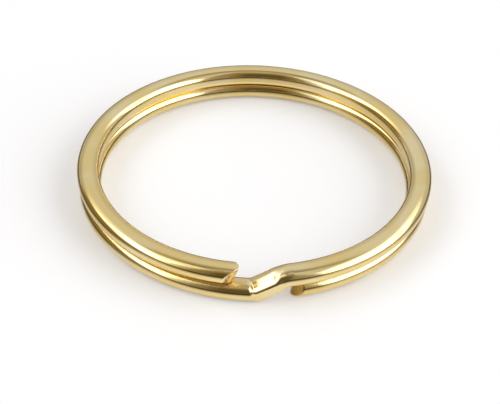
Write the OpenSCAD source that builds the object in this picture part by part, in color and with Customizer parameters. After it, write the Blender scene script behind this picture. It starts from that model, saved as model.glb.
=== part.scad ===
// Split key ring: one length of flattened round spring wire, coiled twice.
// The upper turn steps down to the lower one at the front, in a short crossing
// made of two bends with a slope between them.  One sheared end stops just
// short of the foot of the crossing, and the other lies under its top.
// The ring lies flat on its lower turn, centred on the Z axis, with the
// crossing at the front, on the -Y side.  All sizes are in millimetres.

/* [Ring] */
// Outside diameter of the ring
ring_d = 28; // [22:0.5:36]
// How much smaller the lower turn is coiled than the upper one, on the radius
turn_step = 0.02; // [0:0.02:0.2]
// Hairline gap between the two turns, where a key is pushed in
turn_gap = 0.02; // [0.02:0.01:0.2]

/* [Wire] */
// Diameter of the round wire before it is rolled, which is its width across the ring
wire_w = 1.72; // [1.5:0.02:2.2]
// Thickness that the wire is rolled down to, which is the height of one turn
wire_t = 1.36; // [1:0.02:1.5]
// Width of the narrow flat that the rolls leave on the top and the underside
flat_w = 0.5; // [0.2:0.05:0.8]
// Radius of the crowned shoulders, from each flat down to the round sides
crown_r = 1.3; // [1.2:0.05:2]

/* [Crossing] */
// Angle from the front to the middle of the crossing, towards +X
crossing_at = 6; // [-20:1:20]
// Slope of the wire between the two bends of the crossing
crossing_slope = 31; // [20:1:40]
// Centreline radius of the bend at the top of the crossing
upper_bend_r = 2.1; // [1.5:0.1:3]
// Centreline radius of the bend at the foot of the crossing
lower_bend_r = 1.6; // [1.2:0.1:3]
// How much thinner the forming tool pinches the wire, all round the crossing
pinch = 0.02; // [0.01:0.01:0.1]

/* [Ends] */
// Distance along the wire from the foot of the crossing to the tip of the upper end
upper_end_gap = 0.5; // [0.3:0.1:2]
// Distance along the wire from the top of the crossing to the lower end, on its upper face
lower_end_gap = 0.3; // [0.2:0.1:2]
// Angle of the shear across the upper end, away from square to the wire
upper_end_skew = 50; // [20:1:55]
// Angle of the shear across the lower end, away from square to the wire
lower_end_skew = 36; // [20:1:55]
// Lean of both cut faces, which makes each end longest on its outer face
end_lean = 18; // [0:1:25]
// Radius of the worn inner corner of each tip, seen from above
tip_r = 0.95; // [0.5:0.05:1.4]
// Distance from the wire's centreline out to the point of each tip
tip_out = 0.2; // [0:0.05:0.4]

/* [Hidden] */

turn_fn = 180;
arc_steps = 8;
crown_steps = 3;
bend_steps = 10;
slope_steps = 8;

pitch = wire_t + turn_gap;
upper_r = (ring_d - wire_w) / 2;
lower_r = upper_r - turn_step;
upper_z = wire_t / 2 + pitch;
lower_z = wire_t / 2;
// How far past the wire's middle the centre of each crowned face lies
crown_c = sqrt(pow(crown_r, 2) - pow(flat_w / 2, 2)) - wire_t / 2;
// The same section, pinched: its side and crown radii, and half its thickness
pinched_r = (wire_w - pinch) / 2;
pinched_crown_r = crown_r - pinch / 2;
pinched_t = (wire_t - pinch) / 2;
// Height where the pinched crown meets the round side, and that point's place on both
crease_y = (pow(pinched_crown_r, 2) - pow(pinched_r, 2) - pow(crown_c, 2)) / (2 * crown_c);
crease = asin(crease_y / pinched_r);
crown_from = acos((crease_y + crown_c) / pinched_crown_r);
crown_to = acos((pinched_t + crown_c) / pinched_crown_r);

// Crossing: lengths seen from above, and the fall of each bend
slope_fall = pitch - (upper_bend_r + lower_bend_r) * (1 - cos(crossing_slope));
slope_run = slope_fall / tan(crossing_slope);
upper_run = upper_bend_r * sin(crossing_slope);
lower_run = lower_bend_r * sin(crossing_slope);
crossing_run = lower_run + slope_run + upper_run;
foot_at = crossing_at - turn_angle(crossing_run / 2);
top_at = crossing_at + turn_angle(crossing_run / 2);

// Angles of the two tips, measured at the nose of each end
upper_tip_at = foot_at - turn_angle(upper_end_gap);
lower_tip_at = top_at + turn_angle(lower_end_gap - wire_t * tan(end_lean));
// Spare length that each end is made with before it is sheared
end_spare = 0.9;
// How far the waste reaches back from a tip, and on past it
waste_back = 3;
waste_past = 1.62;
// Length over which the crossing runs on inside the turn at each of its ends
crossing_root = 0.3;

// Angle round the ring that a length along the wire takes up
function turn_angle(run) = run / upper_r * 180 / PI;

// Height of the wire's centreline at a distance from the foot of the crossing
function crossing_z(s) =
    s < lower_run ? lower_z + lower_bend_r * (1 - cos(asin(max(0, s) / lower_bend_r))) :
    s < lower_run + slope_run ?
        lower_z + lower_bend_r * (1 - cos(crossing_slope)) + (s - lower_run) * tan(crossing_slope) :
    upper_z - upper_bend_r * (1 - cos(asin(max(0, crossing_run - s) / upper_bend_r)));

// Slope of the centreline at the same distance
function crossing_tilt(s) =
    s < lower_run ? asin(max(0, s) / lower_bend_r) :
    s < lower_run + slope_run ? crossing_slope :
    asin(max(0, crossing_run - s) / upper_bend_r);

// Stations along the crossing: even angles round each bend, even steps on the slope
crossing_stations = concat(
    [-crossing_root],
    [for (i = [0 : bend_steps - 1]) lower_bend_r * sin(crossing_slope * i / bend_steps)],
    [for (i = [0 : slope_steps - 1]) lower_run + slope_run * i / slope_steps],
    [for (i = [bend_steps : -1 : 0])
        crossing_run - upper_bend_r * sin(crossing_slope * i / bend_steps)],
    [crossing_run + crossing_root]
);

// Half the outline of the rolled wire: its outer side, then its crowned top
half_section = concat(
    [for (i = [0 : arc_steps]) pinched_r * unit(-crease + 2 * crease * i / arc_steps)],
    [for (i = [1 : crown_steps]) crown_point(i)],
    [for (i = [crown_steps : -1 : 1]) [-crown_point(i).x, crown_point(i).y]]
);
// The whole outline, which is the same again turned half round
section_points = concat(half_section, -half_section);

// A point on the crowned shoulder, from the crease to the edge of the flat
function crown_point(i) =
    pinched_crown_r * unit(90 - crown_from + (crown_from - crown_to) * i / crown_steps)
    - [0, crown_c];

function unit(a) = [cos(a), sin(a)];

// A point of the outline, carried to its place on the crossing
function crossing_point(s, p) =
    let (
        at = foot_at + turn_angle(s),
        r = lower_r + turn_step * min(1, max(0, s / crossing_run)) + p.x,
        tilt = crossing_tilt(s),
        along = -p.y * sin(tilt)
    )
    [
        r * sin(at) + along * cos(at),
        -r * cos(at) + along * sin(at),
        crossing_z(s) + p.y * cos(tilt)
    ];

// The rolled wire's section: round sides, crowned shoulders and two narrow flats
module wire_section() {
    intersection() {
        circle(d = wire_w, $fn = 96);
        translate([0, -crown_c])
            circle(r = crown_r, $fn = 180);
        translate([0, crown_c])
            circle(r = crown_r, $fn = 180);
        square([2 * wire_w, wire_t], center = true);
    }
}

// One turn of the coil, from one angle round the back to another
module turn(r, z, from_at, to_at) {
    translate([0, 0, z])
        rotate_extrude(angle = to_at - from_at, start = from_at - 90, $fn = turn_fn)
            translate([r, 0])
                wire_section();
}

// The crossing: the same section swept down the two bends and the slope between them
module crossing() {
    n = len(section_points);
    rings = len(crossing_stations);
    points = [for (s = crossing_stations) for (p = section_points) crossing_point(s, p)];
    sides = [
        for (j = [0 : rings - 2]) for (i = [0 : n - 1])
            [j * n + i, j * n + (i + 1) % n, (j + 1) * n + (i + 1) % n, (j + 1) * n + i]
    ];
    foot_face = [for (i = [n - 1 : -1 : 0]) i];
    top_face = [for (i = [0 : n - 1]) (rings - 1) * n + i];
    polyhedron(points, concat([foot_face], sides, [top_face]), convexity = 4);
}

// What a tip keeps, seen from above, with the point of the tip towards +X.
// The inner corner is round, and the outer side is cut back at the shear's angle.
module tip_outline(r, skew) {
    reach = 3.5 * wire_w;
    intersection() {
        union() {
            translate([-tip_r, wire_w / 2 - tip_r - r])
                circle(r = tip_r, $fn = 96);
            translate([-reach, -reach - r])
                square([reach - tip_r, 2 * reach]);
        }
        translate([0, -tip_out - r])
            rotate(-skew)
                translate([-2 * reach, -2 * reach])
                    square([2 * reach, 4 * reach]);
    }
}

// The waste beyond a tip, leaning back below the wire's outer face
module tip_waste(r, skew) {
    deep = 2 * wire_t;
    translate([0, 0, wire_t / 2])
        rotate([0, end_lean, 0])
            translate([0, 0, -deep])
                linear_extrude(2 * deep)
                    difference() {
                        translate([-waste_back, -r - wire_w])
                            square([waste_back + waste_past, 2 * wire_w]);
                        tip_outline(r, skew);
                    }
}

// The upper turn, from the top of the crossing round to its sheared end
module upper_turn() {
    difference() {
        turn(upper_r, upper_z, top_at, upper_tip_at + 360 + turn_angle(end_spare));
        translate([0, 0, upper_z])
            rotate(upper_tip_at)
                tip_waste(upper_r, upper_end_skew);
    }
}

// The lower turn, from the foot of the crossing back round to its sheared end
module lower_turn() {
    difference() {
        turn(lower_r, lower_z, lower_tip_at - turn_angle(end_spare), foot_at + 360);
        translate([0, 0, lower_z])
            rotate(lower_tip_at)
                rotate([0, 180, 0])
                    tip_waste(lower_r, lower_end_skew);
    }
}

module split_ring() {
    color("goldenrod") {
        upper_turn();
        crossing();
        lower_turn();
    }
}

split_ring();
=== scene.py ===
"""A flat split key ring in its finished look, on a pale floor in soft studio light.

The ring is one length of rolled spring wire, plated in gold colour and coiled
twice. Near the front its upper turn steps down to the lower one, and its two
sheared ends lie beside that crossing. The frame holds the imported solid. Here
the same wire is swept again at the same size and in the same place, with the
slight spiral of its turns, its pressed crossing, its softened rims and its
plated surface.
"""

from __future__ import annotations

import logging
import math
from dataclasses import dataclass, field
from enum import Enum

import bmesh
import bpy
from mathutils import Matrix, Vector

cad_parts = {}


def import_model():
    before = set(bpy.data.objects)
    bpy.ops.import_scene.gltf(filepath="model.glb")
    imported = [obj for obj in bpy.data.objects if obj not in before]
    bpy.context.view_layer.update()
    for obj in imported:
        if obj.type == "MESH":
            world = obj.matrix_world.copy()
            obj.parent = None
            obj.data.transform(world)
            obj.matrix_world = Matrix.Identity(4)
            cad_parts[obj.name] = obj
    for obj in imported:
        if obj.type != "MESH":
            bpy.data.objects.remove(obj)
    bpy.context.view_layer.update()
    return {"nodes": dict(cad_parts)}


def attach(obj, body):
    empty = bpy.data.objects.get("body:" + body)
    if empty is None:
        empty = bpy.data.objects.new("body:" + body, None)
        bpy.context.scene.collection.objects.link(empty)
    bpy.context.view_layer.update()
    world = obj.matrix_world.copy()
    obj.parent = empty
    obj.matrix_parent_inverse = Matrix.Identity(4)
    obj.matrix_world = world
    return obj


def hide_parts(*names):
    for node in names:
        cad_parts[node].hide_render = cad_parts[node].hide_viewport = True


LOG = logging.getLogger("split_ring")

MM = 0.001
FULL_TURN = 2.0 * math.pi
NODE = "split_ring"
BODY = "root"
WIRE_UV = "wire_uv"
CUT_MARK = "cut_face"
FLAT_MARK = "rolled_flat"
CONTACT_MARK = "contact_face"
LOWER_MARK = "lower_end"


# ---- node sums


Number = "Term | float"
Place = "tuple[Number, Number, Number]"


@dataclass(frozen=True)
class Term:
    """A number that nodes work out, which can stand in an ordinary sum.

    Attributes:
        tree: The node tree that the sum is built in.
        socket: The output that carries the number.
    """

    tree: bpy.types.NodeTree
    socket: bpy.types.NodeSocket

    def __add__(self, other: Number) -> Term:
        """This number plus another."""
        return node_sum(self.tree, "ADD", self, other)

    def __radd__(self, other: float) -> Term:
        """A plain number plus this one."""
        return node_sum(self.tree, "ADD", other, self)

    def __sub__(self, other: Number) -> Term:
        """This number less another."""
        return node_sum(self.tree, "SUBTRACT", self, other)

    def __rsub__(self, other: float) -> Term:
        """A plain number less this one."""
        return node_sum(self.tree, "SUBTRACT", other, self)

    def __mul__(self, other: Number) -> Term:
        """This number times another."""
        return node_sum(self.tree, "MULTIPLY", self, other)

    def __rmul__(self, other: float) -> Term:
        """A plain number times this one."""
        return node_sum(self.tree, "MULTIPLY", other, self)

    def __truediv__(self, other: Number) -> Term:
        """This number divided by another."""
        return node_sum(self.tree, "DIVIDE", self, other)

    def __rtruediv__(self, other: float) -> Term:
        """A plain number divided by this one."""
        return node_sum(self.tree, "DIVIDE", other, self)

    def __neg__(self) -> Term:
        """This number with its sign changed."""
        return node_sum(self.tree, "MULTIPLY", self, -1.0)


def feed(place: bpy.types.NodeSocket, value: Number) -> None:
    """Sets a node's input to a number, or links it to the node that works it out.

    Args:
        place: The input.
        value: A Term or a plain number.
    """
    if isinstance(value, Term):
        value.tree.links.new(value.socket, place)
    else:
        place.default_value = value


def parts_of(vector: bpy.types.NodeSocket) -> tuple[Term, Term, Term]:
    """The three numbers of a vector.

    Args:
        vector: The output that carries the vector.

    Returns:
        Its X, Y and Z.
    """
    tree = vector.id_data
    parts = tree.nodes.new("ShaderNodeSeparateXYZ")
    tree.links.new(vector, parts.inputs[0])
    x, y, z = (Term(tree, part) for part in parts.outputs)
    return x, y, z


def node_sum(tree: bpy.types.NodeTree, operation: str, *values: Number) -> Term:
    """Adds one Math node.

    Args:
        tree: The tree to add it to.
        operation: The Math node's operation.
        values: Its inputs in order, each a Term or a plain number.

    Returns:
        The node's result.
    """
    node = tree.nodes.new("ShaderNodeMath")
    node.operation = operation
    for place, value in zip(node.inputs, values):
        feed(place, value)
    return Term(tree, node.outputs[0])


def sine(x: Term) -> Term:
    """The sine of an angle in radians."""
    return node_sum(x.tree, "SINE", x)


def cosine(x: Term) -> Term:
    """The cosine of an angle in radians."""
    return node_sum(x.tree, "COSINE", x)


def root(x: Term) -> Term:
    """The square root."""
    return node_sum(x.tree, "SQRT", x)


def size_of(x: Term) -> Term:
    """The number without its sign."""
    return node_sum(x.tree, "ABSOLUTE", x)


def greater(x: Term, y: Number) -> Term:
    """The greater of two numbers."""
    return node_sum(x.tree, "MAXIMUM", x, y)


def lesser(x: Term, y: Number) -> Term:
    """The lesser of two numbers."""
    return node_sum(x.tree, "MINIMUM", x, y)


def power(x: Term, exponent: Number) -> Term:
    """The number raised to a power."""
    return node_sum(x.tree, "POWER", x, exponent)


def within(x: Term, low: Number, high: Number) -> Term:
    """The number, held between two others."""
    return lesser(greater(x, low), high)


def rise(x: Term, low: Number, high: Number) -> Term:
    """A smooth step, from 0 at low to 1 at high.

    Args:
        x: The number that moves.
        low: Where the step starts.
        high: Where it ends.

    Returns:
        The step's height.
    """
    node = x.tree.nodes.new("ShaderNodeMapRange")
    node.interpolation_type = "SMOOTHSTEP"
    for name, value in (("Value", x), ("From Min", low), ("From Max", high)):
        feed(node.inputs[name], value)
    return Term(x.tree, node.outputs["Result"])


def mixed(first: Number, second: Number, share: Term) -> Term:
    """A blend of two numbers, all first at share 0 and all second at share 1."""
    return first + (second - first) * share


# ---- finishes


Colour = tuple[float, float, float]


def opaque(colour: Colour) -> tuple[float, float, float, float]:
    """A colour with full alpha, as Blender's sockets take it."""
    return (*colour, 1.0)


def blend(
    first: Colour | bpy.types.NodeSocket, second: Colour | bpy.types.NodeSocket, share: Term
) -> bpy.types.NodeSocket:
    """Blends two colours, each of them plain or from a node.

    Args:
        first: The colour at share 0.
        second: The colour at share 1.
        share: The blend.

    Returns:
        The blended colour.
    """
    mix = share.tree.nodes.new("ShaderNodeMix")
    mix.data_type = "RGBA"
    feed(mix.inputs["Factor"], share)
    places = [socket for socket in mix.inputs if socket.type == "RGBA"]
    for place, colour in zip(places, (first, second)):
        if isinstance(colour, bpy.types.NodeSocket):
            share.tree.links.new(colour, place)
        else:
            place.default_value = opaque(colour)
    return next(socket for socket in mix.outputs if socket.type == "RGBA")


@dataclass(frozen=True)
class PlatedWireFinish:
    """Gold-coloured plating over rolled spring wire.

    Attributes:
        gold: Colour of the plating.
        pale_gold: Colour where the plating is thin and paler.
        pale_rise: Heights of the patches' noise between which that comes in.
        torn_gold: Colour of the upper end's sheared face, on its burrs.
        deep_gold: Colour of the same face, in its tears.
        torn_rise: Heights of the tears' noise between which the burrs come in.
        shaded_end_gold: Colour of the lower end's sheared face, darker than the upper end's:
            painted shade.
        shaded_contact_gold: Colour where the turns meet, darker than the plating: painted shade
            between the turns.
        side_roughness: Roughness of the round sides, which are brightest.
        flat_roughness: Roughness of the flats, which the rolls left satin.
        cut_roughness: Roughness of the sheared faces.
        contact_roughness: Roughness where the two turns meet.
        least_roughness: Roughness that no part goes below.
        grain_roughness: How much the grain changes the roughness.
        streak_roughness: How much the rolling streaks change it.
        streak_bump: Height of the rolling streaks, in metres.
        grain_bump: Height of the plating's fine grain, in metres.
        tear_bump: Height of the tearing on the sheared faces, in metres.
        contact_tear: The share of it where the two turns meet.
        streak_scale: Streaks in a millimetre, along the wire and round its girth.
        grain_scale: Grains in a metre.
        patch_scale: Patches in a metre.
        tear_scale: Tears in a metre.
        tear_squash: The share of that scale up the cut face.
        fine_detail: Octaves of the streaks, the grain and the tears.
        patch_detail: Octaves of the patches.
    """

    gold: Colour = (0.86, 0.66, 0.27)
    pale_gold: Colour = (0.90, 0.75, 0.42)
    pale_rise: tuple[float, float] = (0.35, 0.75)
    torn_gold: Colour = (1.0, 0.90, 0.58)
    deep_gold: Colour = (0.62, 0.40, 0.12)
    torn_rise: tuple[float, float] = (0.40, 0.60)
    shaded_end_gold: Colour = (0.80, 0.50, 0.13)
    shaded_contact_gold: Colour = (0.82, 0.59, 0.24)
    side_roughness: float = 0.055
    flat_roughness: float = 0.13
    cut_roughness: float = 0.34
    contact_roughness: float = 0.30
    least_roughness: float = 0.03
    grain_roughness: float = 0.10
    streak_roughness: float = 0.06
    streak_bump: float = 0.0005 * MM
    grain_bump: float = 0.0024 * MM
    tear_bump: float = 0.05 * MM
    contact_tear: float = 0.3
    streak_scale: tuple[float, float] = (0.35, 14.0)
    grain_scale: float = 5000.0
    patch_scale: float = 260.0
    tear_scale: float = 4500.0
    tear_squash: float = 0.6
    fine_detail: float = 3.0
    patch_detail: float = 2.0

    def make(self) -> bpy.types.Material:
        """Builds the material.

        Returns:
            The plated wire material.
        """
        material = bpy.data.materials.new("plated_wire")
        material.use_nodes = True
        tree = material.node_tree
        shader = tree.nodes["Principled BSDF"]
        shader.inputs["Metallic"].default_value = 1.0
        cut = self._mark(tree, CUT_MARK)
        flat = self._mark(tree, FLAT_MARK)
        contact = self._mark(tree, CONTACT_MARK)
        place = tree.nodes.new("ShaderNodeTexCoord").outputs["Object"]
        run = tree.nodes.new("ShaderNodeUVMap")
        run.uv_map = WIRE_UV
        along, squashed = (*self.streak_scale, 1.0), (1.0, 1.0, self.tear_squash)
        streaks = self._noise(run.outputs["UV"], 1.0, self.fine_detail, along)
        grain = self._noise(place, self.grain_scale, self.fine_detail)
        patches = self._noise(place, self.patch_scale, self.patch_detail)
        tears = self._noise(place, self.tear_scale, self.fine_detail, squashed)
        colour = self._colour(patches, tears, contact, cut)
        tree.links.new(colour, shader.inputs["Base Color"])
        roughness = mixed(self.side_roughness, self.flat_roughness, flat)
        roughness = mixed(roughness, self.contact_roughness, contact)
        roughness = mixed(roughness, self.cut_roughness, cut)
        roughness = roughness + (grain - 0.5) * self.grain_roughness
        roughness = roughness + (streaks - 0.5) * self.streak_roughness
        feed(shader.inputs["Roughness"], greater(roughness, self.least_roughness))
        height = streaks * self.streak_bump + grain * self.grain_bump
        torn_share = greater(cut, contact * self.contact_tear)
        height = height + tears * torn_share * self.tear_bump
        bump = tree.nodes.new("ShaderNodeBump")
        # The height is already in metres, so the bump takes it whole
        bump.inputs["Distance"].default_value = 1.0
        feed(bump.inputs["Height"], height)
        tree.links.new(bump.outputs["Normal"], shader.inputs["Normal"])
        return material

    def _colour(
        self, patches: Term, tears: Term, contact: Term, cut: Term
    ) -> bpy.types.NodeSocket:
        """Mixes the plating's golds and the sheared faces' own, with painted shade where the
        turns meet and on the lower end's face.

        Args:
            patches: The patches' noise.
            tears: The tears' noise.
            contact: 1 where the two turns meet.
            cut: 1 on the sheared faces.

        Returns:
            The reflected colour.
        """
        plating = blend(self.gold, self.pale_gold, rise(patches, *self.pale_rise))
        # Painted shade: the plating darkens where the two turns meet, on their outer half.
        plating = blend(plating, self.shaded_contact_gold, contact)
        torn = blend(self.deep_gold, self.torn_gold, rise(tears, *self.torn_rise))
        whole = blend(plating, torn, cut)
        # Painted shade: the lower end's sheared face takes a darker gold than the upper end's.
        return blend(whole, self.shaded_end_gold, self._mark(cut.tree, LOWER_MARK))

    @staticmethod
    def _mark(tree: bpy.types.NodeTree, name: str) -> Term:
        """Reads one of the wire's own marks.

        Args:
            tree: The material's tree.
            name: The mark's name.

        Returns:
            The mark, from 0 to 1.
        """
        node = tree.nodes.new("ShaderNodeAttribute")
        node.attribute_name = name
        return Term(tree, node.outputs["Fac"])

    @staticmethod
    def _noise(
        place: bpy.types.NodeSocket,
        scale: float,
        detail: float,
        stretch: tuple[float, float, float] = (1.0, 1.0, 1.0),
    ) -> Term:
        """Adds a noise texture.

        Args:
            place: The coordinates that it reads.
            scale: Its scale.
            detail: Its detail.
            stretch: A share of its scale along each coordinate.

        Returns:
            Its height, about 0 to 1.
        """
        tree = place.id_data
        mapping = tree.nodes.new("ShaderNodeMapping")
        mapping.inputs["Scale"].default_value = stretch
        tree.links.new(place, mapping.inputs["Vector"])
        noise = tree.nodes.new("ShaderNodeTexNoise")
        noise.inputs["Scale"].default_value = scale
        noise.inputs["Detail"].default_value = detail
        tree.links.new(mapping.outputs["Vector"], noise.inputs["Vector"])
        return Term(tree, noise.outputs["Fac"])


@dataclass(frozen=True)
class FloorFinish:
    """The pale floor's smooth, faintly glossy white. It glows faintly, as painted light, and
    turns dark in the wire's reflections, as painted shade.

    Attributes:
        white: Its colour.
        roughness: Its roughness.
        gloss: Its specular level.
        glow: The floor's own glow, painted light that keeps every shadow pale.
        reflected_shade: Dark colour of its low-angle sheen, seen only in the wire's reflections:
            painted shade on the floor as the wire sees it.
        sheen_rise: How far the floor turns away where that painted shade starts and is full.
        sheen_roughness: Roughness of the sheen.
    """

    white: Colour = (0.77, 0.77, 0.775)
    roughness: float = 0.4
    gloss: float = 0.25
    glow: float = 0.22
    reflected_shade: Colour = (0.20, 0.19, 0.16)
    sheen_rise: tuple[float, float] = (0.25, 0.8)
    sheen_roughness: float = 0.35

    def make(self) -> bpy.types.Material:
        """Builds the material.

        Returns:
            The floor's material.
        """
        material = bpy.data.materials.new("pale_floor")
        material.use_nodes = True
        tree = material.node_tree
        shader = tree.nodes["Principled BSDF"]
        shader.inputs["Base Color"].default_value = opaque(self.white)
        shader.inputs["Roughness"].default_value = self.roughness
        shader.inputs["Specular IOR Level"].default_value = self.gloss
        # Painted light: the floor glows by itself, which keeps every shadow pale.
        shader.inputs["Emission Strength"].default_value = self.glow
        # Painted shade: at low angles, and only in the wire's reflections, the floor turns to a
        # dark gloss.
        turned = Term(tree, tree.nodes.new("ShaderNodeLayerWeight").outputs["Facing"])
        mirrored = Term(tree, tree.nodes.new("ShaderNodeLightPath").outputs["Is Glossy Ray"])
        reflected_shade = rise(turned, *self.sheen_rise)
        polish = tree.nodes.new("ShaderNodeBsdfGlossy")
        polish.inputs["Roughness"].default_value = self.sheen_roughness
        polish.inputs["Color"].default_value = opaque(self.reflected_shade)
        mix = tree.nodes.new("ShaderNodeMixShader")
        feed(mix.inputs["Fac"], reflected_shade * mirrored)
        tree.links.new(shader.outputs["BSDF"], mix.inputs[1])
        tree.links.new(polish.outputs["BSDF"], mix.inputs[2])
        tree.links.new(mix.outputs["Shader"], tree.nodes["Material Output"].inputs["Surface"])
        return material


# ---- the wire


class Tip(Enum):
    """The wire's two sheared ends, with the way that each points round the ring."""

    UPPER = 1
    LOWER = -1


@dataclass
class SplitRing:
    """The whole ring, which is one wire swept through both turns and the crossing.

    Lengths are in metres and angles in radians, measured from the front (-Y)
    towards +X. Along the wire the angle runs on from the lower end, round the
    lower turn, over the crossing and round the upper turn to the upper end.

    Attributes:
        ring_d: Outside diameter of the upper turn.
        turn_step: How much smaller the lower turn is, on the radius.
        turn_shift: How far the lower turn sits to the right and to the back.
        turn_drift: How far the wire winds in over one turn.
        turn_gap: Hairline gap between the turns.
        wire_w: Width of the wire.
        wire_t: Thickness of the wire.
        squareness: Power of the section's oval, where 2 is an ellipse.
        crossing_squareness: The power on the crossing's outer side.
        crossing_roll: How far the wire is rolled outwards there.
        inner_squareness: The power at the upper turn's lower inner corner.
        crossing_at: Angle of the crossing's middle.
        slope: Slope of the wire between the crossing's two bends.
        upper_bend_r: Centreline radius of its top bend.
        lower_bend_r: Centreline radius of its foot bend.
        upper_end_gap: Length from its foot to the upper end.
        lower_end_gap: Length from its top to the lower end.
        upper_skew: Angle of the upper end's shear, away from square.
        lower_skew: Angle of the lower end's shear, away from square.
        lean: Lean of both sheared faces.
        tip_r: Radius of each tip's worn inner corner.
        tip_out: Distance from the centreline out to each tip's point.
        rim: Radius of the sheared faces' softened rims.
        stations_round: Rows of points round each turn.
        stations_crossing: Rows of points over the crossing.
        stations_tip: Rows of points near each tip.
        stations_cap: Rings of points on each sheared face.
        girth_points: Points round the wire.
        finish: The plating.
    """

    ring_d: float = 28.0 * MM
    turn_step: float = 0.096 * MM
    turn_shift: tuple[float, float] = (0.094 * MM, 0.043 * MM)
    turn_drift: float = 0.22 * MM
    turn_gap: float = 0.02 * MM
    wire_w: float = 1.72 * MM
    wire_t: float = 1.36 * MM
    squareness: float = 2.45
    crossing_squareness: float = 4.6
    crossing_roll: float = math.radians(15.0)
    inner_squareness: float = 4.6
    crossing_at: float = math.radians(6.0)
    slope: float = math.radians(31.0)
    upper_bend_r: float = 2.1 * MM
    lower_bend_r: float = 1.6 * MM
    upper_end_gap: float = 0.5 * MM
    lower_end_gap: float = 0.3 * MM
    upper_skew: float = math.radians(50.0)
    lower_skew: float = math.radians(36.0)
    lean: float = math.radians(18.0)
    tip_r: float = 0.95 * MM
    tip_out: float = 0.2 * MM
    rim: float = 0.06 * MM
    stations_round: int = 300
    stations_crossing: int = 72
    stations_tip: int = 36
    stations_cap: int = 12
    girth_points: int = 96
    finish: PlatedWireFinish = field(default_factory=PlatedWireFinish)

    @property
    def pitch(self) -> float:
        """Height from one turn to the next."""
        return self.wire_t + self.turn_gap

    @property
    def upper_r(self) -> float:
        """Centreline radius of the upper turn."""
        return (self.ring_d - self.wire_w) / 2.0

    @property
    def lower_run(self) -> float:
        """Length of the bend at the foot of the crossing, seen from above."""
        return self.lower_bend_r * math.sin(self.slope)

    @property
    def upper_run(self) -> float:
        """Length of the bend at the top of the crossing, seen from above."""
        return self.upper_bend_r * math.sin(self.slope)

    @property
    def slope_run(self) -> float:
        """Length of the straight slope, seen from above."""
        bends = (self.upper_bend_r + self.lower_bend_r) * (1.0 - math.cos(self.slope))
        return (self.pitch - bends) / math.tan(self.slope)

    @property
    def crossing_run(self) -> float:
        """Length of the whole crossing, seen from above."""
        return self.lower_run + self.slope_run + self.upper_run

    @property
    def foot_at(self) -> float:
        """Angle of the foot of the crossing, after one turn of the wire."""
        return FULL_TURN + self.crossing_at - self.crossing_run / 2.0 / self.upper_r

    @property
    def top_at(self) -> float:
        """Angle of the top of the crossing."""
        return self.foot_at + self.crossing_run / self.upper_r

    @property
    def upper_tip_at(self) -> float:
        """Angle of the upper end's point."""
        return self.foot_at + FULL_TURN - self.upper_end_gap / self.upper_r

    @property
    def lower_tip_at(self) -> float:
        """Angle of the lower end's point."""
        reach = self.lower_end_gap - self.wire_t * math.tan(self.lean)
        return self.top_at - FULL_TURN + reach / self.upper_r

    def build(self) -> bpy.types.Object:
        """Sweeps the wire and makes it a plain mesh.

        Returns:
            The finished ring, riding on its body.
        """
        seed = bpy.data.objects.new("wire_seed", bpy.data.meshes.new("wire_seed"))
        bpy.context.scene.collection.objects.link(seed)
        modifier = seed.modifiers.new("rolled_wire", "NODES")
        modifier.node_group = self._tree(self.finish.make())
        sizes = self._inputs()
        for item in modifier.node_group.interface.items_tree:
            if item.name in sizes:
                modifier[item.identifier] = sizes[item.name]
        graph = bpy.context.evaluated_depsgraph_get()
        mesh = bpy.data.meshes.new_from_object(seed.evaluated_get(graph))
        mesh.name = "plated_wire"
        seed.modifiers.remove(modifier)
        bpy.data.objects.remove(seed)
        self._face_outwards(mesh)
        ring = bpy.data.objects.new("plated_wire", mesh)
        bpy.context.scene.collection.objects.link(ring)
        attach(ring, BODY)
        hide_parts(NODE)
        return ring

    @staticmethod
    def _face_outwards(mesh: bpy.types.Mesh) -> None:
        """Turns every face of a closed mesh outwards and shades it smooth.

        Args:
            mesh: The closed mesh.
        """
        shell = bmesh.new()
        shell.from_mesh(mesh)
        bmesh.ops.recalc_face_normals(shell, faces=shell.faces)
        shell.to_mesh(mesh)
        shell.free()
        mesh.shade_smooth()

    def _inputs(self) -> dict[str, float]:
        """The named inputs of the wire's node tree, with this ring's sizes."""
        return {
            "Upper turn radius": self.upper_r,
            "Turn step": self.turn_step,
            "Wire width": self.wire_w,
            "Wire thickness": self.wire_t,
            "Foot angle": self.foot_at,
            "Top angle": self.top_at,
            "Upper tip angle": self.upper_tip_at,
            "Lower tip angle": self.lower_tip_at,
            "Upper bend radius": self.upper_bend_r,
            "Lower bend radius": self.lower_bend_r,
            "Slope": self.slope,
            "Tip radius": self.tip_r,
            "Tip point": self.tip_out,
            "Upper shear": self.upper_skew,
            "Lower shear": self.lower_skew,
            "Shear lean": self.lean,
            "Squareness": self.squareness,
            "Crossing squareness": self.crossing_squareness,
            "Crossing roll": self.crossing_roll,
            "Inner squareness": self.inner_squareness,
            "Turn shift across": self.turn_shift[0],
            "Turn shift back": self.turn_shift[1],
            "Turn drift": self.turn_drift,
            "Rim": self.rim,
        }

    def _tree(self, material: bpy.types.Material) -> bpy.types.NodeTree:
        """Builds the node tree that sweeps the wire.

        Args:
            material: The finish that the tree sets.

        Returns:
            The node tree.
        """
        tree = bpy.data.node_groups.new("rolled_wire", "GeometryNodeTree")
        for name in self._inputs():
            tree.interface.new_socket(name, in_out="INPUT", socket_type="NodeSocketFloat")
        tree.interface.new_socket("Wire", in_out="OUTPUT", socket_type="NodeSocketGeometry")
        wire = WireSweep(tree, self).wire()
        paint = tree.nodes.new("GeometryNodeSetMaterial")
        paint.inputs["Material"].default_value = material
        real = tree.nodes.new("GeometryNodeRealizeInstances")
        last = tree.nodes.new("NodeGroupOutput")
        tree.links.new(wire, real.inputs["Geometry"])
        tree.links.new(real.outputs["Geometry"], paint.inputs["Geometry"])
        tree.links.new(paint.outputs["Geometry"], last.inputs[0])
        return tree


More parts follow.
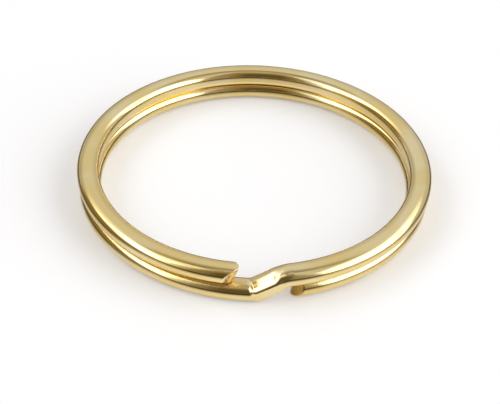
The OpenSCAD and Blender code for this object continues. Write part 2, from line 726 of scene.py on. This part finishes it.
class WireSweep:
    """The rule of the wire's shape, written as geometry nodes.

    Flat grids are laid out first, one for each stretch of the wire. Along x a
    grid holds the angle round the ring and along y the place round the wire's
    girth, from 0 to 1. Two more grids close the ends: along x they hold the
    share of the section's size, from the middle to the rim. One rule then
    carries every grid point to its place.

    Attributes:
        TIP_REACH: Angle over which the shear at a tip fades away.
        TIP_EASE: How strongly the rows crowd towards a tip.
        CAP_EASE: How strongly a sheared face's rings crowd towards its rim.
        GIRTH_MM: Length of the girth on the UV map, in millimetres.
        MERGE: Distance within which points become one.
        OUTER: Places across the wire between which the contact face comes in.
        CONTACT: Heights between which it comes in.
        CONTACT_FADE: Angles over which it goes out, off the crossing and on it.
        FLAT: Heights between which the rolled flat comes in.
        PRESS_IN: Places on the crossing between which the pressing comes in.
        PRESS_OUT: Places between which it goes out.
        PRESS_SIDE: Half the width over which it comes in.
        FULLER: Width over which the fuller corner comes in.
    """

    TIP_REACH = math.radians(12.0)
    TIP_EASE = 2.2
    CAP_EASE = 1.6
    GIRTH_MM = 5.0
    MERGE = 0.0005 * MM
    OUTER = (-0.2, 0.0)
    CONTACT = (0.62, 0.92)
    CONTACT_FADE = (0.01, 0.02)
    FLAT = (0.9, 0.99)
    PRESS_IN = (0.08, 0.24)
    PRESS_OUT = (0.62, 0.80)
    PRESS_SIDE = 0.15
    FULLER = 0.3

    def __init__(self, tree: bpy.types.NodeTree, ring: SplitRing) -> None:
        """Starts the rule.

        Args:
            tree: The node tree to write it in.
            ring: The ring whose counts it takes.
        """
        self.tree = tree
        self.ring = ring
        self.given = tree.nodes.new("NodeGroupInput")
        self.foot, self.top = self.size("Foot angle"), self.size("Top angle")
        self.radius = self.size("Upper turn radius")
        self.half_w = self.size("Wire width") / 2.0
        self.half_t = self.size("Wire thickness") / 2.0

    def size(self, name: str) -> Term:
        """One of the tree's named inputs."""
        return Term(self.tree, self.given.outputs[name])

    def wire(self) -> bpy.types.NodeSocket:
        """Lays out the grids, joins them and carries them to their places.

        Returns:
            The wire's geometry.
        """
        ring = self.ring
        lower_tip, upper_tip = self.size("Lower tip angle"), self.size("Upper tip angle")
        reach, foot, top = self.TIP_REACH, self.foot, self.top
        grids = [
            self._grid(ring.stations_tip, lower_tip, reach, self.TIP_EASE),
            self._grid(ring.stations_round, lower_tip + reach, foot - lower_tip - reach),
            self._grid(ring.stations_crossing, foot, top - foot),
            self._grid(ring.stations_round, top, upper_tip - top - reach),
            self._grid(ring.stations_tip, upper_tip, -reach, self.TIP_EASE),
        ]
        for tip in Tip:
            layer = float(tip.value)
            grids.append(self._grid(ring.stations_cap, 1.0, -1.0, self.CAP_EASE, layer))
        join = self.tree.nodes.new("GeometryNodeJoinGeometry")
        for grid in grids:
            self.tree.links.new(grid, join.inputs[0])
        return self._shaped(join.outputs[0])

    def _grid(
        self, stations: int, start: Number, span: Number, ease: float = 1.0, layer: float = 0.0
    ) -> bpy.types.NodeSocket:
        """Lays out one flat grid.

        Args:
            stations: How many rows it has along the wire.
            start: The value of x at its first row.
            span: How far x runs from there.
            ease: Above 1, the rows crowd towards the start.
            layer: The value of z, which tells the end grids apart.

        Returns:
            The grid.
        """
        grid = self.tree.nodes.new("GeometryNodeMeshGrid")
        grid.inputs["Size X"].default_value = 1.0
        grid.inputs["Size Y"].default_value = 1.0
        grid.inputs["Vertices X"].default_value = stations + 1
        grid.inputs["Vertices Y"].default_value = self.ring.girth_points + 1
        x, y, _ = parts_of(self._position())
        along = start + span * power(greater(x + 0.5, 0.0), ease)
        return self._moved(grid.outputs["Mesh"], (along, y + 0.5, layer))

    def _position(self) -> bpy.types.NodeSocket:
        """Where the points are now."""
        return self.tree.nodes.new("GeometryNodeInputPosition").outputs[0]

    def _moved(self, geometry: bpy.types.NodeSocket, place: Place) -> bpy.types.NodeSocket:
        """Carries a geometry's points to a new place.

        Args:
            geometry: The geometry.
            place: The new place.

        Returns:
            The moved geometry.
        """
        move = self.tree.nodes.new("GeometryNodeSetPosition")
        self.tree.links.new(geometry, move.inputs["Geometry"])
        self.tree.links.new(self._vector(place), move.inputs["Position"])
        return move.outputs["Geometry"]

    def _vector(self, place: Place) -> bpy.types.NodeSocket:
        """Three numbers as one vector.

        Args:
            place: The numbers.

        Returns:
            The vector.
        """
        join = self.tree.nodes.new("ShaderNodeCombineXYZ")
        for spot, value in zip(join.inputs, place):
            feed(spot, value)
        return join.outputs[0]

    def _shaped(self, grids: bpy.types.NodeSocket) -> bpy.types.NodeSocket:
        """Marks the grids and carries them to the wire's shape.

        Args:
            grids: All the grids, joined.

        Returns:
            The closed wire.
        """
        x, girth, layer = parts_of(self._position())
        is_cap = size_of(layer)
        share = mixed(1.0, x, is_cap)
        lower_tip, upper_tip = self.size("Lower tip angle"), self.size("Upper tip angle")
        cap_angle = mixed(lower_tip, upper_tip, greater(layer, 0.0))
        angle = mixed(x, cap_angle, is_cap)
        out, up, flat = self._section(girth, angle)
        rim = self._rim(angle) * (1.0 - is_cap) + is_cap * self._rim(cap_angle)
        out, up = out * share * rim, up * share * rim
        placed = angle - self._set_back(angle, out, up)
        outer = rise(out / self.size("Wire width"), *self.OUTER)
        # The contact mark covers only the outer half. The finish paints shade there and roughens
        # it.
        contact = self._contact(angle, up) * outer * (1.0 - is_cap)
        marks = {CUT_MARK: is_cap, FLAT_MARK: flat, CONTACT_MARK: contact}
        # The lower end's sheared face, which the finish paints darker as shade.
        marks[LOWER_MARK] = greater(-layer, 0.0)
        marked = grids
        for name, mark in marks.items():
            marked = self._mark(marked, name, "FLOAT", mark.socket)
        run = placed * (self.ring.upper_r / MM)
        unrolled = self._vector((run, girth * self.GIRTH_MM, 0.0))
        marked = self._mark(marked, WIRE_UV, "FLOAT2", unrolled, "CORNER")
        shaped = self._moved(marked, self._swept(placed, out, up))
        merge = self.tree.nodes.new("GeometryNodeMergeByDistance")
        merge.inputs["Distance"].default_value = self.MERGE
        self.tree.links.new(shaped, merge.inputs["Geometry"])
        return merge.outputs["Geometry"]

    def _contact(self, angle: Term, up: Term) -> Term:
        """How far a point lies on the face that meets the other turn.

        Args:
            angle: The angle along the wire.
            up: How far the point lies up.

        Returns:
            1 on the lower turn's upper face and the upper turn's lower face.
        """
        off, on = self.CONTACT_FADE
        upward = up / self.half_t
        on_lower = 1.0 - rise(angle, self.foot - off, self.foot + on)
        on_upper = rise(angle, self.top - on, self.top + off)
        return rise(upward, *self.CONTACT) * on_lower + rise(-upward, *self.CONTACT) * on_upper

    def _section(self, girth: Term, angle: Term) -> tuple[Term, Term, Term]:
        """The rolled wire's section: a squarish oval.

        It is squarer, and rolled a little outwards, on the crossing. It is
        fuller at the upper turn's inner corner, where the two turns meet.

        Args:
            girth: The place round the girth, from 0 at the outer side to 1.
            angle: The angle along the wire.

        Returns:
            How far the point lies out from the centreline, how far it lies up,
            and how flat the wire is there, from 0 to 1.
        """
        around = girth * FULL_TURN
        across, upward = cosine(around), sine(around)
        share = (angle - self.foot) / (self.top - self.foot)
        on_crossing = rise(share, *self.PRESS_IN) * (1.0 - rise(share, *self.PRESS_OUT))
        on_upper = rise(share, 0.0, 1.0)
        fuller = rise(-across, 0.0, self.FULLER) * rise(-upward, 0.0, self.FULLER) * on_upper
        square = mixed(self.size("Squareness"), self.size("Inner squareness"), fuller)
        pressed = on_crossing * rise(across, -self.PRESS_SIDE, self.PRESS_SIDE)
        square = mixed(square, self.size("Crossing squareness"), pressed)
        wide, high = size_of(across) / self.half_w, size_of(upward) / self.half_t
        reach = power(power(wide, square) + power(high, square), -1.0 / square)
        flat = rise(reach * high, *self.FLAT)
        out, up = reach * across, reach * upward
        roll = self.size("Crossing roll") * on_crossing
        return out * cosine(roll) + up * sine(roll), up * cosine(roll) - out * sine(roll), flat

    def _rim(self, angle: Term) -> Term:
        """How much the section draws in at a sheared end's rim, as a share.

        Args:
            angle: The angle along the wire.

        Returns:
            1 along the wire, and a little less within a rim's radius of a tip.
        """
        rim = self.size("Rim")
        to_upper = self.size("Upper tip angle") - angle
        to_lower = angle - self.size("Lower tip angle")
        short = rim - lesser(lesser(to_upper, to_lower) * self.radius, rim)
        drop = rim - root(greater(rim * rim - short * short, 0.0))
        return 1.0 - drop / self.half_t

    def _set_back(self, angle: Term, out: Term, up: Term) -> Term:
        """How far the shear sets the wire back at a tip, as an angle.

        The round nose takes off the inner corner, the skewed shear takes off
        the outer one, and the lean makes the end longest on its outer face.
        Ahead of the tip the set-back fades in over a short reach.

        Args:
            angle: The angle along the wire.
            out: How far the point lies out from the centreline.
            up: How far it lies up.

        Returns:
            The angle to take off, positive at the upper tip.
        """
        tip_r = self.size("Tip radius")
        inward = within(tip_r - self.half_w - out, 0.0, tip_r)
        nose = tip_r - root(greater(tip_r * tip_r - inward * inward, 0.0))
        past = greater(out - self.size("Tip point"), 0.0)
        lean = node_sum(self.tree, "TANGENT", self.size("Shear lean"))
        total = 0.0
        for tip in Tip:
            side = float(tip.value)
            name = tip.name.capitalize()
            skew = node_sum(self.tree, "TANGENT", self.size(f"{name} shear"))
            reach = (self.size(f"{name} tip angle") - angle) * side
            fade = 1.0 - rise(reach, 0.0, self.TIP_REACH)
            off = greater(nose, past * skew) + (self.half_t - up * side) * lean
            total = total + off * fade * side / self.radius
        return total

    def _swept(self, angle: Term, out: Term, up: Term) -> Place:
        """Carries a section point to its place on the coil.

        Args:
            angle: The angle along the wire.
            out: How far the point lies out from the centreline.
            up: How far it lies up, square to the wire.

        Returns:
            The point's place.
        """
        lower_bend, upper_bend = self.size("Lower bend radius"), self.size("Upper bend radius")
        slope = self.size("Slope")
        lower_run, upper_run = lower_bend * sine(slope), upper_bend * sine(slope)
        run = (self.top - self.foot) * self.radius
        done = (angle - self.foot) * self.radius
        low = within(done, 0.0, lower_run)
        high = within(run - done, 0.0, upper_run)
        middle = within(done - lower_run, 0.0, run - lower_run - upper_run)
        rise_low = lower_bend - root(lower_bend * lower_bend - low * low)
        rise_high = root(upper_bend * upper_bend - high * high) - upper_bend * cosine(slope)
        tangent = node_sum(self.tree, "TANGENT", slope)
        height = self.half_t + rise_low + middle * tangent + rise_high
        tilt = lesser(low / lower_bend, high / upper_bend)
        level = root(1.0 - tilt * tilt)
        below = 1.0 - within(done / run, 0.0, 1.0)
        turned = size_of(angle - (self.foot + self.top) / 2.0) / FULL_TURN
        drift = self.size("Turn drift") * (0.5 - turned)
        coil = self.radius + drift - self.size("Turn step") * below + out
        along = -(up * tilt)
        return (
            coil * sine(angle) + along * cosine(angle) + self.size("Turn shift across") * below,
            along * sine(angle) - coil * cosine(angle) + self.size("Turn shift back") * below,
            height + up * level,
        )

    def _mark(
        self,
        geometry: bpy.types.NodeSocket,
        name: str,
        kind: str,
        value: bpy.types.NodeSocket,
        domain: str = "POINT",
    ) -> bpy.types.NodeSocket:
        """Stores a named attribute.

        Args:
            geometry: The geometry that gets it.
            name: Its name.
            kind: Its data type.
            value: Its value.
            domain: Where it is kept.

        Returns:
            The marked geometry.
        """
        store = self.tree.nodes.new("GeometryNodeStoreNamedAttribute")
        store.data_type = kind
        store.domain = domain
        store.inputs["Name"].default_value = name
        self.tree.links.new(geometry, store.inputs["Geometry"])
        self.tree.links.new(value, store.inputs["Value"])
        return store.outputs["Geometry"]


# ---- the studio


class Side(Enum):
    """The side of the ring that a lit patch stands on, as the camera sees it."""

    LEFT = "left"
    RIGHT = "right"
    BOTH = "both"


@dataclass(frozen=True)
class Ramp:
    """A change of level between two places, with a level run before and after.

    Attributes:
        start: Where it starts.
        end: Where it ends.
        gain: How much it adds.
    """

    start: float
    end: float
    gain: float

    def at(self, place: Term) -> Term:
        """What the ramp adds at a place."""
        return within((place - self.start) / (self.end - self.start), 0.0, 1.0) * self.gain


@dataclass(frozen=True)
class Band:
    """A level of the room's walls, from one elevation up.

    Attributes:
        start: Where the change to it starts, in degrees.
        end: Where the change ends.
        colour: The light that it gives.
    """

    start: float
    end: float
    colour: Colour


@dataclass(frozen=True)
class LitPatch:
    """A soft-edged patch of the surroundings, such as a soft box or a dark flag.

    Azimuths run from 0 towards the camera to 180 behind the ring, the same to
    the left and to the right. All angles are in degrees.

    Attributes:
        colour: The light that it gives.
        side: The side that it stands on.
        front: Azimuth of its front edge.
        rear: Azimuth of its rear edge.
        low: Elevation of its lower edge at the front.
        high: Elevation of its upper edge at the front.
        low_ramps: How the lower edge changes towards the rear.
        high_ramps: How the upper edge changes towards the rear.
        soft: Half the width of its soft edges.
    """

    colour: Colour
    side: Side
    front: float
    rear: float
    low: float
    high: float
    low_ramps: tuple[Ramp, ...] = ()
    high_ramps: tuple[Ramp, ...] = ()
    soft: float = 2.5

    def cover(self, across: Term, up: Term) -> Term:
        """How much of the patch is seen in a direction.

        Args:
            across: The azimuth, negative on the left.
            up: The elevation.

        Returns:
            1 inside the patch and 0 outside.
        """
        turn = size_of(across)
        low, high = 0.0, 0.0
        for ramp in self.low_ramps:
            low = low + ramp.at(turn)
        for ramp in self.high_ramps:
            high = high + ramp.at(turn)
        inside = rise(turn, self.front - self.soft, self.front + self.soft)
        inside = inside * (1.0 - rise(turn, self.rear - self.soft, self.rear + self.soft))
        lower, upper = up - low, up - high
        inside = inside * rise(lower, self.low - self.soft, self.low + self.soft)
        inside = inside * (1.0 - rise(upper, self.high - self.soft, self.high + self.soft))
        if self.side is Side.LEFT:
            inside = inside * node_sum(across.tree, "LESS_THAN", across, 0.0)
        if self.side is Side.RIGHT:
            inside = inside * node_sum(across.tree, "GREATER_THAN", across, 0.0)
        return inside


@dataclass
class Studio:
    """The pale floor and the soft light round it.

    A soft box leans over the ring from either side. The room is grey behind,
    and dark on the camera's side and beneath the left box.

    Attributes:
        floor_half: Half the floor's side.
        backdrop: What the camera sees past the floor.
        room: The light of the room's walls at floor level.
        bands: How the walls change higher up.
        patches: The soft boxes and the dark parts, each over the ones before it.
        floor_finish: The floor's finish.
    """

    floor_half: float = 3.0
    backdrop: Colour = (1.0, 1.0, 1.0)
    room: Colour = (0.56, 0.55, 0.55)
    bands: tuple[Band, ...] = (
        Band(2.0, 20.0, (0.62, 0.62, 0.64)),
        Band(24.0, 38.0, (0.74, 0.75, 0.80)),
        Band(54.0, 66.0, (0.46, 0.44, 0.40)),
        Band(66.0, 74.0, (0.33, 0.30, 0.25)),
        Band(76.0, 82.0, (0.54, 0.52, 0.52)),
    )
    patches: tuple[LitPatch, ...] = (
        # The left wall, and the paler ceiling over the right box
        LitPatch((0.50, 0.48, 0.44), Side.LEFT, 110.0, 168.0, -20.0, 26.0, soft=8.0),
        LitPatch((0.66, 0.64, 0.62), Side.RIGHT, 40.0, 104.0, 54.0, 84.0, soft=6.0),
        # The right soft box, its bright middle and its rear arm
        LitPatch(
            (1.35, 1.35, 1.35), Side.RIGHT, 40.0, 152.0, -8.0, 35.0,
            (Ramp(92.0, 112.0, 31.0), Ramp(112.0, 148.0, 16.0)),
            (Ramp(40.0, 60.0, 18.0), Ramp(60.0, 76.0, 6.0), Ramp(96.0, 150.0, -15.0)), 4.0,
        ),
        LitPatch(
            (3.2, 3.2, 3.25), Side.RIGHT, 44.0, 98.0, -8.0, 31.0,
            (Ramp(84.0, 110.0, 36.0),), (Ramp(40.0, 60.0, 17.0), Ramp(60.0, 76.0, 4.0)), 6.0,
        ),
        LitPatch(
            (2.3, 2.3, 2.3), Side.RIGHT, 92.0, 134.0, -4.0, 55.0,
            (Ramp(90.0, 110.0, 30.0), Ramp(110.0, 146.0, 19.0)), (Ramp(84.0, 150.0, -15.0),), 6.0,
        ),
        # The dark beneath the left soft box, then the box and its bright middle
        LitPatch(
            (0.27, 0.20, 0.10), Side.LEFT, 46.0, 122.0, -20.0, 2.0,
            (), (Ramp(50.0, 98.0, 29.0),), 6.0,
        ),
        LitPatch(
            (1.1, 1.1, 1.1), Side.LEFT, 45.0, 150.0, 3.0, 74.0,
            (Ramp(50.0, 98.0, 28.0), Ramp(122.0, 146.0, 11.0)),
            (Ramp(88.0, 104.0, -14.0), Ramp(104.0, 150.0, -10.0)), 5.0,
        ),
        LitPatch(
            (2.8, 2.8, 2.9), Side.LEFT, 52.0, 124.0, 10.0, 54.0,
            (Ramp(52.0, 98.0, 27.0),), (Ramp(112.0, 146.0, -6.0),), 6.0,
        ),
        # The dark on the camera's side, paler towards its edges
        LitPatch((0.30, 0.25, 0.16), Side.LEFT, -20.0, 37.0, -20.0, 62.0, soft=6.0),
        LitPatch((0.46, 0.41, 0.30), Side.RIGHT, -20.0, 38.0, -20.0, 62.0, soft=6.0),
        LitPatch((0.32, 0.27, 0.18), Side.BOTH, -20.0, 32.0, -20.0, 74.0, soft=8.0),
        LitPatch((0.13, 0.10, 0.05), Side.LEFT, -20.0, 25.0, -20.0, 57.0, soft=8.0),
        LitPatch((0.13, 0.10, 0.05), Side.RIGHT, -20.0, 15.0, -20.0, 57.0, soft=10.0),
    )
    floor_finish: FloorFinish = field(default_factory=FloorFinish)

    def build(self) -> bpy.types.Object:
        """Lays the floor and lights the studio.

        Returns:
            The floor.
        """
        half = self.floor_half
        square = [(-half, -half, 0.0), (half, -half, 0.0), (half, half, 0.0), (-half, half, 0.0)]
        mesh = bpy.data.meshes.new("pale_floor")
        mesh.from_pydata(square, [], [(0, 1, 2, 3)])
        floor = bpy.data.objects.new("pale_floor", mesh)
        mesh.materials.append(self.floor_finish.make())
        bpy.context.scene.collection.objects.link(floor)
        self._light()
        return floor

    def _light(self) -> None:
        """Surrounds the floor with the room and its soft boxes, as the world's light."""
        world = bpy.data.worlds.new("soft_studio")
        bpy.context.scene.world = world
        world.use_nodes = True
        tree = world.node_tree
        back = tree.nodes["Background"]
        x, y, z = parts_of(tree.nodes.new("ShaderNodeTexCoord").outputs["Generated"])
        up = node_sum(tree, "ARCSINE", within(z, -1.0, 1.0)) * math.degrees(1.0)
        across = node_sum(tree, "ARCTAN2", x, -y) * math.degrees(1.0)
        light: Colour | bpy.types.NodeSocket = self.room
        for band in self.bands:
            light = blend(light, band.colour, rise(up, band.start, band.end))
        for patch in self.patches:
            light = blend(light, patch.colour, patch.cover(across, up))
        seen = tree.nodes.new("ShaderNodeLightPath").outputs["Is Camera Ray"]
        light = blend(light, self.backdrop, Term(tree, seen))
        tree.links.new(light, back.inputs["Color"])


@dataclass
class Portrait:
    """The camera.

    Attributes:
        distance: Distance from the lens to the point that it is aimed at.
        elevation: Its elevation, in degrees.
        roll: How far it is turned about its own line of sight, in degrees.
        aim_height: Height of the aimed point on the ring's axis.
        focal_px: Focal length, in pixels of the picture.
        picture: Width and height of the picture, in pixels.
        aim: Where the aimed point lies, across the picture and down it.
        sensor: Width of the sensor, in millimetres.
        sight: Distances where its view starts and ends.
    """

    distance: float = 87.43 * MM
    elevation: float = 36.92
    roll: float = -1.977
    aim_height: float = 2.06 * MM
    focal_px: float = 1097.8
    picture: tuple[float, float] = (500.0, 404.0)
    aim: tuple[float, float] = (253.85, 163.04)
    sensor: float = 36.0
    sight: tuple[float, float] = (1.0 * MM, 20.0)

    def build(self) -> bpy.types.Object:
        """Makes the camera.

        Returns:
            The camera.
        """
        data = bpy.data.cameras.new("portrait")
        data.sensor_fit = "HORIZONTAL"
        data.sensor_width = self.sensor
        data.lens = self.focal_px * self.sensor / self.picture[0]
        data.clip_start, data.clip_end = self.sight
        camera = bpy.data.objects.new("portrait", data)
        bpy.context.scene.collection.objects.link(camera)
        camera.matrix_world = self._place()
        bpy.context.scene.camera = camera
        return camera

    def _place(self) -> Matrix:
        """Works out where the camera stands and how it is turned.

        Returns:
            The camera's matrix.
        """
        tip = math.radians(self.elevation)
        away = Vector((0.0, -math.cos(tip), math.sin(tip)))
        eye = Vector((0.0, 0.0, self.aim_height)) + away * self.distance
        level = (-away).to_track_quat("-Z", "Y").to_matrix()
        roll = Matrix.Rotation(math.radians(-self.roll), 3, "Z")
        across, down = (
            math.atan((aim - size / 2.0) / self.focal_px)
            for aim, size in zip(self.aim, self.picture)
        )
        turned = level @ roll @ Matrix.Rotation(across, 3, "Y") @ Matrix.Rotation(down, 3, "X")
        place = turned.to_4x4()
        place.translation = eye
        return place


# ---- the order


def main() -> None:
    """Loads the frame, builds every piece in order and logs each one."""
    logging.basicConfig(level=logging.INFO, format="%(message)s")
    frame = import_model()
    LOG.info("frame: %d node", len(frame["nodes"]))
    Portrait().build()
    LOG.info("camera: placed")
    ring = SplitRing().build()
    LOG.info("plated_wire: %d faces", len(ring.data.polygons))
    Studio().build()
    LOG.info("studio: floor and soft boxes")
    bpy.context.scene.view_settings.view_transform = "Standard"


if __name__ == "__main__":
    main()
